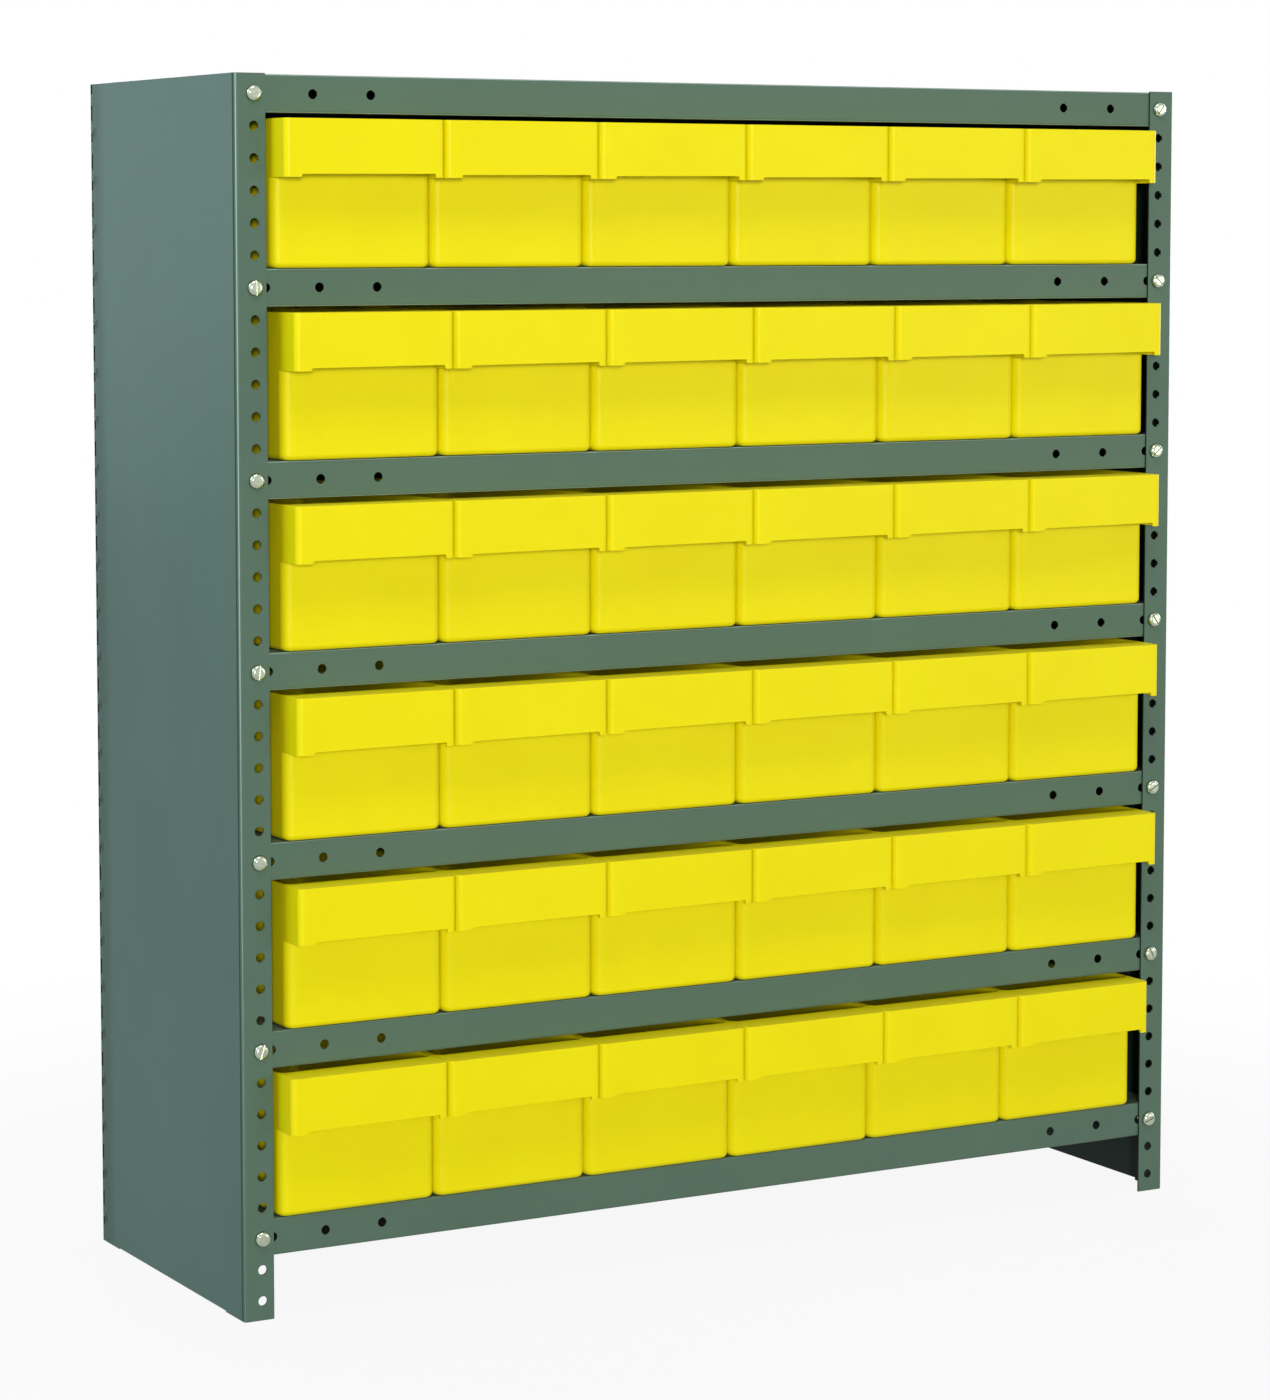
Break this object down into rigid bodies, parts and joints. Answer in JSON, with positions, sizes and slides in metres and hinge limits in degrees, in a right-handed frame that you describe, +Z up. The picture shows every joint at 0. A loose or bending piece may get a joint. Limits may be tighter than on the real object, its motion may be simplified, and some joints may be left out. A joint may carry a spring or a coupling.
{
  "type": "closed shelving unit",
  "caption": "Closed steel shelving unit: perforated angle posts, lipped shelves, side and back panels, and rows of moulded drawers with hooded pulls sliding on the shelves.",
  "frame": {"origin": "on the floor at the centre of the whole unit's box", "axes": "+Z up, the drawers' fronts face -Y, +X to the right seen from the front"},
  "size_m": [0.9144, 0.3352, 0.9969],
  "materials": {
    "enamelled_steel": "satin grey-green baked enamel",
    "drawer_plastic": "moulded yellow plastic, soft gloss",
    "zinc_plated_steel": "bright zinc plating"
  },
  "bodies": {
    "frame": {"post_front_left": "enamelled_steel", "post_front_right": "enamelled_steel", "post_rear_left": "enamelled_steel", "post_rear_right": "enamelled_steel", "shelf_1": "enamelled_steel", "shelf_2": "enamelled_steel", "shelf_3": "enamelled_steel", "shelf_4": "enamelled_steel", "shelf_5": "enamelled_steel", "shelf_6": "enamelled_steel", "shelf_7": "enamelled_steel", "side_panel_left": "enamelled_steel", "side_panel_right": "enamelled_steel", "back_panel": "enamelled_steel", "front_bolts": "zinc_plated_steel", "rear_bolts": "zinc_plated_steel", "front_nuts": "zinc_plated_steel", "rear_nuts": "zinc_plated_steel"},
    "drawer_r1_c1": {"drawer_r1_c1": "drawer_plastic"},
    "drawer_r1_c2": {"drawer_r1_c2": "drawer_plastic"},
    "drawer_r1_c3": {"drawer_r1_c3": "drawer_plastic"},
    "drawer_r1_c4": {"drawer_r1_c4": "drawer_plastic"},
    "drawer_r1_c5": {"drawer_r1_c5": "drawer_plastic"},
    "drawer_r1_c6": {"drawer_r1_c6": "drawer_plastic"},
    "drawer_r2_c1": {"drawer_r2_c1": "drawer_plastic"},
    "drawer_r2_c2": {"drawer_r2_c2": "drawer_plastic"},
    "drawer_r2_c3": {"drawer_r2_c3": "drawer_plastic"},
    "drawer_r2_c4": {"drawer_r2_c4": "drawer_plastic"},
    "drawer_r2_c5": {"drawer_r2_c5": "drawer_plastic"},
    "drawer_r2_c6": {"drawer_r2_c6": "drawer_plastic"},
    "drawer_r3_c1": {"drawer_r3_c1": "drawer_plastic"},
    "drawer_r3_c2": {"drawer_r3_c2": "drawer_plastic"},
    "drawer_r3_c3": {"drawer_r3_c3": "drawer_plastic"},
    "drawer_r3_c4": {"drawer_r3_c4": "drawer_plastic"},
    "drawer_r3_c5": {"drawer_r3_c5": "drawer_plastic"},
    "drawer_r3_c6": {"drawer_r3_c6": "drawer_plastic"},
    "drawer_r4_c1": {"drawer_r4_c1": "drawer_plastic"},
    "drawer_r4_c2": {"drawer_r4_c2": "drawer_plastic"},
    "drawer_r4_c3": {"drawer_r4_c3": "drawer_plastic"},
    "drawer_r4_c4": {"drawer_r4_c4": "drawer_plastic"},
    "drawer_r4_c5": {"drawer_r4_c5": "drawer_plastic"},
    "drawer_r4_c6": {"drawer_r4_c6": "drawer_plastic"},
    "drawer_r5_c1": {"drawer_r5_c1": "drawer_plastic"},
    "drawer_r5_c2": {"drawer_r5_c2": "drawer_plastic"},
    "drawer_r5_c3": {"drawer_r5_c3": "drawer_plastic"},
    "drawer_r5_c4": {"drawer_r5_c4": "drawer_plastic"},
    "drawer_r5_c5": {"drawer_r5_c5": "drawer_plastic"},
    "drawer_r5_c6": {"drawer_r5_c6": "drawer_plastic"},
    "drawer_r6_c1": {"drawer_r6_c1": "drawer_plastic"},
    "drawer_r6_c2": {"drawer_r6_c2": "drawer_plastic"},
    "drawer_r6_c3": {"drawer_r6_c3": "drawer_plastic"},
    "drawer_r6_c4": {"drawer_r6_c4": "drawer_plastic"},
    "drawer_r6_c5": {"drawer_r6_c5": "drawer_plastic"},
    "drawer_r6_c6": {"drawer_r6_c6": "drawer_plastic"}
  },
  "joints": [
    {"name": "drawer_r1_c1_slide", "type": "slide", "parent": "frame", "child": "drawer_r1_c1", "axis": [0, -1, 0], "range_m": [-0.0327, 0.2]},
    {"name": "drawer_r1_c2_slide", "type": "slide", "parent": "frame", "child": "drawer_r1_c2", "axis": [0, -1, 0], "range_m": [-0.0327, 0.2]},
    {"name": "drawer_r1_c3_slide", "type": "slide", "parent": "frame", "child": "drawer_r1_c3", "axis": [0, -1, 0], "range_m": [-0.0327, 0.2]},
    {"name": "drawer_r1_c4_slide", "type": "slide", "parent": "frame", "child": "drawer_r1_c4", "axis": [0, -1, 0], "range_m": [-0.0327, 0.2]},
    {"name": "drawer_r1_c5_slide", "type": "slide", "parent": "frame", "child": "drawer_r1_c5", "axis": [0, -1, 0], "range_m": [-0.0327, 0.2]},
    {"name": "drawer_r1_c6_slide", "type": "slide", "parent": "frame", "child": "drawer_r1_c6", "axis": [0, -1, 0], "range_m": [-0.0327, 0.2]},
    {"name": "drawer_r2_c1_slide", "type": "slide", "parent": "frame", "child": "drawer_r2_c1", "axis": [0, -1, 0], "range_m": [-0.0327, 0.2]},
    {"name": "drawer_r2_c2_slide", "type": "slide", "parent": "frame", "child": "drawer_r2_c2", "axis": [0, -1, 0], "range_m": [-0.0327, 0.2]},
    {"name": "drawer_r2_c3_slide", "type": "slide", "parent": "frame", "child": "drawer_r2_c3", "axis": [0, -1, 0], "range_m": [-0.0327, 0.2]},
    {"name": "drawer_r2_c4_slide", "type": "slide", "parent": "frame", "child": "drawer_r2_c4", "axis": [0, -1, 0], "range_m": [-0.0327, 0.2]},
    {"name": "drawer_r2_c5_slide", "type": "slide", "parent": "frame", "child": "drawer_r2_c5", "axis": [0, -1, 0], "range_m": [-0.0327, 0.2]},
    {"name": "drawer_r2_c6_slide", "type": "slide", "parent": "frame", "child": "drawer_r2_c6", "axis": [0, -1, 0], "range_m": [-0.0327, 0.2]},
    {"name": "drawer_r3_c1_slide", "type": "slide", "parent": "frame", "child": "drawer_r3_c1", "axis": [0, -1, 0], "range_m": [-0.0327, 0.2]},
    {"name": "drawer_r3_c2_slide", "type": "slide", "parent": "frame", "child": "drawer_r3_c2", "axis": [0, -1, 0], "range_m": [-0.0327, 0.2]},
    {"name": "drawer_r3_c3_slide", "type": "slide", "parent": "frame", "child": "drawer_r3_c3", "axis": [0, -1, 0], "range_m": [-0.0327, 0.2]},
    {"name": "drawer_r3_c4_slide", "type": "slide", "parent": "frame", "child": "drawer_r3_c4", "axis": [0, -1, 0], "range_m": [-0.0327, 0.2]},
    {"name": "drawer_r3_c5_slide", "type": "slide", "parent": "frame", "child": "drawer_r3_c5", "axis": [0, -1, 0], "range_m": [-0.0327, 0.2]},
    {"name": "drawer_r3_c6_slide", "type": "slide", "parent": "frame", "child": "drawer_r3_c6", "axis": [0, -1, 0], "range_m": [-0.0327, 0.2]},
    {"name": "drawer_r4_c1_slide", "type": "slide", "parent": "frame", "child": "drawer_r4_c1", "axis": [0, -1, 0], "range_m": [-0.0327, 0.2]},
    {"name": "drawer_r4_c2_slide", "type": "slide", "parent": "frame", "child": "drawer_r4_c2", "axis": [0, -1, 0], "range_m": [-0.0327, 0.2]},
    {"name": "drawer_r4_c3_slide", "type": "slide", "parent": "frame", "child": "drawer_r4_c3", "axis": [0, -1, 0], "range_m": [-0.0327, 0.2]},
    {"name": "drawer_r4_c4_slide", "type": "slide", "parent": "frame", "child": "drawer_r4_c4", "axis": [0, -1, 0], "range_m": [-0.0327, 0.2]},
    {"name": "drawer_r4_c5_slide", "type": "slide", "parent": "frame", "child": "drawer_r4_c5", "axis": [0, -1, 0], "range_m": [-0.0327, 0.2]},
    {"name": "drawer_r4_c6_slide", "type": "slide", "parent": "frame", "child": "drawer_r4_c6", "axis": [0, -1, 0], "range_m": [-0.0327, 0.2]},
    {"name": "drawer_r5_c1_slide", "type": "slide", "parent": "frame", "child": "drawer_r5_c1", "axis": [0, -1, 0], "range_m": [-0.0327, 0.2]},
    {"name": "drawer_r5_c2_slide", "type": "slide", "parent": "frame", "child": "drawer_r5_c2", "axis": [0, -1, 0], "range_m": [-0.0327, 0.2]},
    {"name": "drawer_r5_c3_slide", "type": "slide", "parent": "frame", "child": "drawer_r5_c3", "axis": [0, -1, 0], "range_m": [-0.0327, 0.2]},
    {"name": "drawer_r5_c4_slide", "type": "slide", "parent": "frame", "child": "drawer_r5_c4", "axis": [0, -1, 0], "range_m": [-0.0327, 0.2]},
    {"name": "drawer_r5_c5_slide", "type": "slide", "parent": "frame", "child": "drawer_r5_c5", "axis": [0, -1, 0], "range_m": [-0.0327, 0.2]},
    {"name": "drawer_r5_c6_slide", "type": "slide", "parent": "frame", "child": "drawer_r5_c6", "axis": [0, -1, 0], "range_m": [-0.0327, 0.2]},
    {"name": "drawer_r6_c1_slide", "type": "slide", "parent": "frame", "child": "drawer_r6_c1", "axis": [0, -1, 0], "range_m": [-0.0327, 0.2]},
    {"name": "drawer_r6_c2_slide", "type": "slide", "parent": "frame", "child": "drawer_r6_c2", "axis": [0, -1, 0], "range_m": [-0.0327, 0.2]},
    {"name": "drawer_r6_c3_slide", "type": "slide", "parent": "frame", "child": "drawer_r6_c3", "axis": [0, -1, 0], "range_m": [-0.0327, 0.2]},
    {"name": "drawer_r6_c4_slide", "type": "slide", "parent": "frame", "child": "drawer_r6_c4", "axis": [0, -1, 0], "range_m": [-0.0327, 0.2]},
    {"name": "drawer_r6_c5_slide", "type": "slide", "parent": "frame", "child": "drawer_r6_c5", "axis": [0, -1, 0], "range_m": [-0.0327, 0.2]},
    {"name": "drawer_r6_c6_slide", "type": "slide", "parent": "frame", "child": "drawer_r6_c6", "axis": [0, -1, 0], "range_m": [-0.0327, 0.2]}
  ]
}
